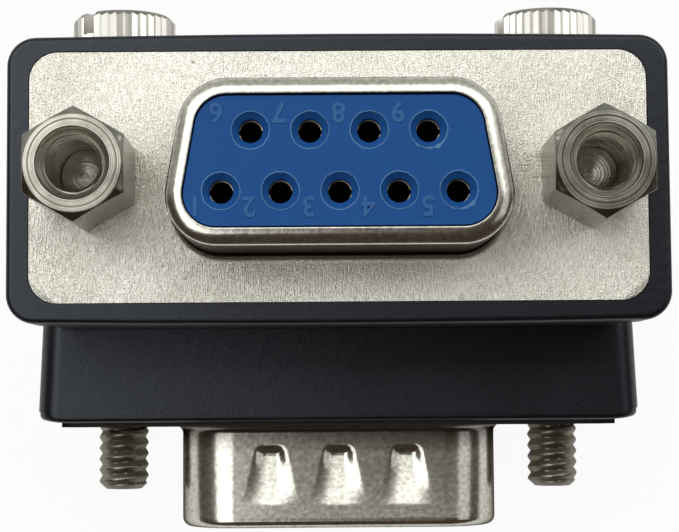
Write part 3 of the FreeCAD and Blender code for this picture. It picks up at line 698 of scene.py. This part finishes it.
# A rod or bore wall along Z from low to high, divided finely enough for the thread
def threadBlank(radius, low, high, capped):
    rows = round((high - low) / thread["pitch"] * thread["rowsPerPitch"])
    clearSelection()
    bpy.ops.mesh.primitive_cylinder_add(
        vertices=thread["around"], radius=radius, depth=high - low,
        location=(0, 0, (low + high) / 2), end_fill_type="TRIFAN" if capped else "NOTHING")
    piece = bpy.context.object
    bakePlace(piece)
    bpy.ops.object.mode_set(mode="EDIT")
    mesh = bmesh.from_edit_mesh(piece.data)
    bpy.ops.mesh.select_all(action="DESELECT")
    for edge in mesh.edges:
        edge.select_set(abs(edge.verts[0].co.z - edge.verts[1].co.z) > (high - low) / 2)
    bmesh.update_edit_mesh(piece.data)
    bpy.ops.mesh.subdivide(number_cuts=rows - 1)
    bpy.ops.object.mode_set(mode="OBJECT")
    return piece


thumbscrewShape = {
    "tipRadius": 1.02 * mm, "tipSlope": 1.1, "overlap": 0.5 * mm, "knurlEdge": 0.05 * mm,
}


def cutThumbscrewThread(side):
    cfg = thumbscrewShape
    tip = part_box("thumbscrew_" + side)[0].y
    crest = thread["major"] / 2
    piece = threadBlank(crest, tip, plugFaceY + cfg["overlap"], capped=True)
    for vertex in piece.data.vertices:
        x, y, z = vertex.co
        if math.hypot(x, y) < crest / 2:
            continue                         # the middle of a cap stays where it is
        groove = threadGroove(math.atan2(y, x), z) * thread["depth"]
        cone = cfg["tipRadius"] + (z - tip) * cfg["tipSlope"]
        moveToRadius(vertex, min(crest - groove, cone))
    middle = nodeMiddle("thumbscrew_" + side)
    fromZToY = Matrix.Rotation(-math.pi / 2, 4, "X")
    piece.matrix_world = Matrix.Translation((middle.x, 0, middle.z)) @ fromZToY
    bakePlace(piece)
    return piece


# The head and shank keep the node's own form; the plain tip gives way to the cut thread
def makeThumbscrew(side):
    node = "thumbscrew_" + side
    shank = copyOfNode(node)
    editAll(shank)
    bpy.ops.mesh.bisect(plane_co=(0, plugFaceY, 0), plane_no=(0, -1, 0), use_fill=True,
                        clear_outer=True)
    bpy.ops.object.mode_set(mode="OBJECT")
    bevelEdges(shank, thumbscrewShape["knurlEdge"], sharperThan=25)
    screw = joinPieces([shank, cutThumbscrewThread(side)])
    finishPiece(screw, "thumbscrew" + side.title(), thumbNickel, node, [node],
                sharpAngle=28)


jackscrewShape = {
    "faceRadius": 2.3 * mm, "hexEdge": 0.03 * mm, "boreRim": 0.5 * mm, "crest": 0.17 * mm,
    "linerWall": 0.05 * mm, "linerGap": 0.015 * mm, "lead": 0.2 * mm,
    "threadBelow": 0.56 * mm, "threadLength": 4.4 * mm,
}


# The hexagon's face is turned round, and a threaded liner goes into the bore. Its crests rise
# from nothing over the lead.
def makeJackscrew(side):
    cfg = jackscrewShape
    node = "jackscrew_" + side
    pillar = copyOfNode(node)
    middle = nodeMiddle(node)
    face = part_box(node)[1].z
    bore = thread["major"] / 2
    for vertex in pillar.data.vertices:
        out = Vector((vertex.co.x - middle.x, vertex.co.y - middle.y, 0))
        if vertex.co.z > face - sliver and out.length > bore + cfg["boreRim"]:
            vertex.co += out.normalized() * (cfg["faceRadius"] - out.length)
    bevelEdges(pillar, cfg["hexEdge"], sharperThan=22)
    top = face - cfg["threadBelow"]
    liner = threadBlank(bore, top - cfg["threadLength"], top, capped=False)
    for vertex in liner.data.vertices:
        x, y, z = vertex.co
        crest = (1 - threadGroove(math.atan2(y, x), z)) * cfg["crest"]
        entry = min((top - z) / cfg["lead"], 1.0)
        moveToRadius(vertex, bore - cfg["linerGap"] - crest * entry)
    editAll(liner)
    bpy.ops.mesh.normals_make_consistent(inside=True)
    bpy.ops.object.mode_set(mode="OBJECT")
    applyModifier(liner, "SOLIDIFY", thickness=cfg["linerWall"], offset=-1.0)
    liner.location = (middle.x, middle.y, 0)
    bakePlace(liner)
    screw = joinPieces([pillar, liner])
    finishPiece(screw, "jackscrew" + side.title(), jackNickel, "root", [node],
                sharpAngle=28)


for side in sides:
    makeThumbscrew(side)
    makeJackscrew(side)
print("screws cut")


# Contact numbers raised on the blue insulator, and the flash round its holes

contactNumbers = {
    "height": 0.95 * mm, "typeScale": 1.38,            # the type's size over a digit's height
    "relief": 0.035 * mm, "sink": 0.02 * mm, "bolder": 0.02 * mm, "edge": 0.012 * mm,
    "upperShift": (-1.42 * mm, 0.86 * mm), "lowerShift": (-1.46 * mm, -0.7 * mm),
    "firstShift": (-1.2 * mm, -0.62 * mm), "sixthShift": (-1.6 * mm, 0.86 * mm),
}


def makeContactNumbers():
    cfg = contactNumbers
    digits = []
    for number in range(1, 10):
        hole = nodeMiddle(f"socket_contact_{number}")
        shift = cfg["upperShift"] if number > 5 else cfg["lowerShift"]
        shift = {1: cfg["firstShift"], 6: cfg["sixthShift"]}.get(number, shift)
        clearSelection()
        bpy.ops.object.text_add(location=(0, 0, 0))
        digit = bpy.context.object
        digit.data.body = str(number)
        digit.data.size = cfg["height"] * cfg["typeScale"]
        digit.data.align_x = "CENTER"
        digit.data.align_y = "CENTER"
        digit.data.extrude = (cfg["relief"] + cfg["sink"]) / 2
        digit.data.offset = cfg["bolder"]
        digit.data.bevel_depth = cfg["edge"]
        digit.data.bevel_resolution = 1
        digit.data.resolution_u = 4
        bpy.ops.object.convert(target="MESH")
        digit = bpy.context.object
        level = insulatorHigh.z + (cfg["relief"] - cfg["sink"]) / 2
        turned = Matrix.Rotation(math.pi, 4, "Z")      # they are read from the screw heads' side
        digit.matrix_world = Matrix.Translation(
            (hole.x + shift[0], hole.y + shift[1], level)) @ turned
        digits.append(digit)
    numbers = joinPieces(digits)
    finishPiece(numbers, "contactNumbers", rubbedPbt)


holeFlash = {
    "radius": 0.89 * mm, "thick": 0.024 * mm, "ragged": 0.03 * mm, "around": 72, "across": 6,
    "seed": 7, "waves": (2, 5, 11, 17), "low": 0.6, "lift": 0.5,
    "chipped": {5: -0.8, 9: -1.5}, "chip": 1.6,        # which way each chipped hole is torn
    "tear": 0.6, "tearSway": 2, "tearDrop": 2,
}


# A hair of flash round each countersink, scraped pale and uneven. It sways in and out in waves,
# so many to the turn, and is torn wide and low where its hole is chipped.
def makeHoleFlash():
    cfg = holeFlash
    random.seed(cfg["seed"])
    rings = []
    for number in range(1, 10):
        hole = nodeMiddle(f"socket_contact_{number}")
        clearSelection()
        bpy.ops.mesh.primitive_torus_add(
            major_radius=cfg["radius"], minor_radius=cfg["thick"], major_segments=cfg["around"],
            minor_segments=cfg["across"], location=(hole.x, hole.y, insulatorHigh.z))
        ring = bpy.context.object
        waves = [(random.uniform(0, math.tau), count) for count in cfg["waves"]]
        for vertex in ring.data.vertices:
            turn = math.atan2(vertex.co.y, vertex.co.x)
            sway = sum(math.sin(turn * count + phase) for phase, count in waves) / len(waves)
            torn = 0.0
            if number in cfg["chipped"]:
                torn = max(math.cos(turn - cfg["chipped"][number]), 0.0) ** 2
                torn *= cfg["tear"] + cfg["tearSway"] * sway
            centre = Vector((math.cos(turn), math.sin(turn), 0)) * cfg["radius"]
            spread = (vertex.co - centre) * (1 + max(cfg["chip"] * torn, 0.0))
            vertex.co = centre * (1 + sway * cfg["ragged"] / cfg["radius"]) + spread
            rise = cfg["low"] + cfg["lift"] * math.sin(turn + waves[0][0])
            vertex.co.z = spread.z * rise / (1 + cfg["tearDrop"] * abs(torn))
        rings.append(ring)
    flash = joinPieces(rings)
    finishPiece(flash, "holeFlash", scuffedPbt)


makeContactNumbers()
makeHoleFlash()
print("insulator marked")


# Nodes whose shape is right keep their mesh and get their finish

finishes = {
    "moulded_body": vinyl,
    "socket_insulator": bluePbt, "plug_insulator": bluePbt,
    "socket_rear_insulator": blackPbt, "plug_rear_insulator": blackPbt,
    "socket_rear_shell": socketNickel, "plug_rear_shell": plugNickel,
}
for side in sides:
    finishes["jack_nut_" + side] = jackNickel
    finishes["retaining_ring_" + side] = springSteel
    finishes["retaining_bush_" + side] = thumbNickel
for number in range(1, 10):
    finishes[f"socket_contact_{number}"] = contactGold
    finishes[f"plug_pin_{number}"] = goldFlash
    finishes[f"link_wire_{number}"] = tinnedCopper
for node, material in finishes.items():
    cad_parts[node].data.materials.clear()
    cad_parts[node].data.materials.append(material)
print("nodes finished")


# Pale floor, soft light and the camera

studio = {
    "floor": "#f2f2f2", "floorGlow": 0.94, "floorMirrored": 0.2, "floorSize": 3.0,
    "floorRoughness": 0.9, "floorDrop": 0.02 * mm,     # so far below, it never touches the part
    "front": "#3f352c", "rear": "#b4b4b0", "frontEnd": -0.02, "rearStart": 0.5,
    "viewer": "#393129", "viewerTowards": (0.12, -0.03, 1), "viewerCore": 3, "viewerEdge": 12,
    "backdrop": "#ffffff", "backdropTop": 0.03,
}


# Both the floor and the low part of the room show as a white backdrop, to the eye and in metal
def backdropRays(tree):
    rays = addNode(tree, "ShaderNodeLightPath").outputs
    mirrored = addNode(tree, "ShaderNodeMath", {"operation": "MAXIMUM"}, {
        0: rays["Is Glossy Ray"], 1: rays["Is Transmission Ray"]}).outputs[0]
    return rays["Is Camera Ray"], mirrored


def makeFloor():
    clearSelection()
    bpy.ops.mesh.primitive_plane_add(
        size=studio["floorSize"], location=(0, 0, -studio["floorDrop"]))
    floor = bpy.context.object
    floor.name = "studioFloor"
    material, tree, shader = newMaterial("paleFloor", {
        "Base Color": linear(studio["floor"]), "Roughness": studio["floorRoughness"]})[:3]
    glow = addNode(tree, "ShaderNodeEmission", {"Color": linear(studio["backdrop"])}).outputs[0]
    seen, mirrored = backdropRays(tree)
    inMetal = addNode(tree, "ShaderNodeMath", {
        "operation": "MULTIPLY", 1: studio["floorMirrored"]}, {0: mirrored}).outputs[0]
    share = addNode(tree, "ShaderNodeMath", {
        "operation": "MULTIPLY_ADD", 1: studio["floorGlow"]}, {0: seen, 2: inMetal}).outputs[0]
    mixed = addNode(tree, "ShaderNodeMixShader", {}, {
        0: share, 1: shader.outputs[0], 2: glow}).outputs[0]
    output = next(node for node in tree.nodes if node.type == "OUTPUT_MATERIAL")
    tree.links.new(mixed, output.inputs["Surface"])
    floor.data.materials.append(material)


# A dim room, paler behind the screw heads, with the viewer's dark shape overhead
def makeWorld():
    world = bpy.data.worlds.new("studioRoom")
    bpy.context.scene.world = world
    world.use_nodes = True
    tree = world.node_tree
    tree.nodes.clear()
    direction = addNode(tree, "ShaderNodeTexCoord").outputs["Generated"]
    axes = addNode(tree, "ShaderNodeSeparateXYZ", {}, {0: direction}).outputs
    rearward = addNode(tree, "ShaderNodeMapRange", {
        1: studio["frontEnd"], 2: studio["rearStart"]}, {0: axes["Y"]}).outputs[0]
    room = addNode(tree, "ShaderNodeMix", {
        "data_type": "RGBA", 6: linear(studio["front"]), 7: linear(studio["rear"])}, {
        0: rearward}).outputs[2]
    viewer = Vector(studio["viewerTowards"]).normalized()
    nearness = addNode(tree, "ShaderNodeVectorMath", {"operation": "DOT_PRODUCT", 1: viewer}, {
        0: direction}).outputs["Value"]
    spot = addNode(tree, "ShaderNodeMapRange", {
        "interpolation_type": "SMOOTHSTEP", 1: math.cos(math.radians(studio["viewerEdge"])),
        2: math.cos(math.radians(studio["viewerCore"]))}, {0: nearness}).outputs[0]
    colour = addNode(tree, "ShaderNodeMix", {
        "data_type": "RGBA", 7: linear(studio["viewer"])}, {0: spot, 6: room}).outputs[2]
    low = addNode(tree, "ShaderNodeMapRange", {1: studio["backdropTop"], 2: 0.0}, {
        0: axes["Z"]}).outputs[0]
    seen, mirrored = backdropRays(tree)
    lowMirrored = addNode(tree, "ShaderNodeMath", {"operation": "MULTIPLY"}, {
        0: low, 1: mirrored}).outputs[0]
    share = addNode(tree, "ShaderNodeMath", {"operation": "MAXIMUM"}, {
        0: seen, 1: lowMirrored}).outputs[0]
    shown = addNode(tree, "ShaderNodeMix", {
        "data_type": "RGBA", 7: linear(studio["backdrop"])}, {0: share, 6: colour}).outputs[2]
    light = addNode(tree, "ShaderNodeBackground", {}, {"Color": shown})
    addNode(tree, "ShaderNodeOutputWorld", {}, {"Surface": light.outputs[0]})


# Soft boxes: how far each leans from overhead towards its side, its size and its radiance
softboxes = {
    "rearBox": {
        "lean": 31.5, "towards": (0.0, 1.0), "across": 0.92, "along": 0.345, "glow": 1.32},
    "leftBox": {
        "lean": 24.5, "towards": (-1.0, -0.1), "across": 0.46, "along": 0.29, "glow": 1.55},
    "rightBox": {
        "lean": 50, "towards": (1.0, 0.1), "across": 0.44, "along": 0.22, "glow": 0.5},
}
softboxPlace = {"aimHeight": 20 * mm, "distance": 0.45}


def makeLights():
    aim = Vector((0, 0, softboxPlace["aimHeight"]))
    for name, box in softboxes.items():
        lean = math.radians(box["lean"])
        side = Vector((*box["towards"], 0)).normalized()
        direction = side * math.sin(lean) + Vector((0, 0, math.cos(lean)))
        lamp = bpy.data.lights.new(name, "AREA")
        lamp.shape = "RECTANGLE"
        lamp.size = box["across"]
        lamp.size_y = box["along"]
        lamp.energy = box["glow"] * math.pi * box["across"] * box["along"]
        holder = bpy.data.objects.new(name, lamp)
        across = Vector((0, 0, 1)).cross(side)
        facing = Matrix((across, direction.cross(across), direction)).transposed().to_4x4()
        place = aim + direction * softboxPlace["distance"]
        holder.matrix_world = Matrix.Translation(place) @ facing
        bpy.context.scene.collection.objects.link(holder)


viewpoint = {
    "place": (-0.785 * mm, -7.671 * mm, 111.618 * mm), "turn": (4.262, -0.485, -0.42),
    "focalPixels": 1774, "imageWidth": 679, "sensor": 36.0, "near": 1 * mm, "far": 10.0,
}


def makeCamera():
    camera = bpy.data.cameras.new("camera")
    camera.sensor_width = viewpoint["sensor"]
    camera.lens = viewpoint["focalPixels"] / viewpoint["imageWidth"] * viewpoint["sensor"]
    camera.clip_start = viewpoint["near"]
    camera.clip_end = viewpoint["far"]
    holder = bpy.data.objects.new("camera", camera)
    holder.location = viewpoint["place"]
    holder.rotation_euler = [math.radians(turn) for turn in viewpoint["turn"]]
    bpy.context.scene.collection.objects.link(holder)
    bpy.context.scene.camera = holder


makeFloor()
makeWorld()
makeLights()
makeCamera()
bpy.context.scene.view_settings.view_transform = "Standard"
print("studio set")
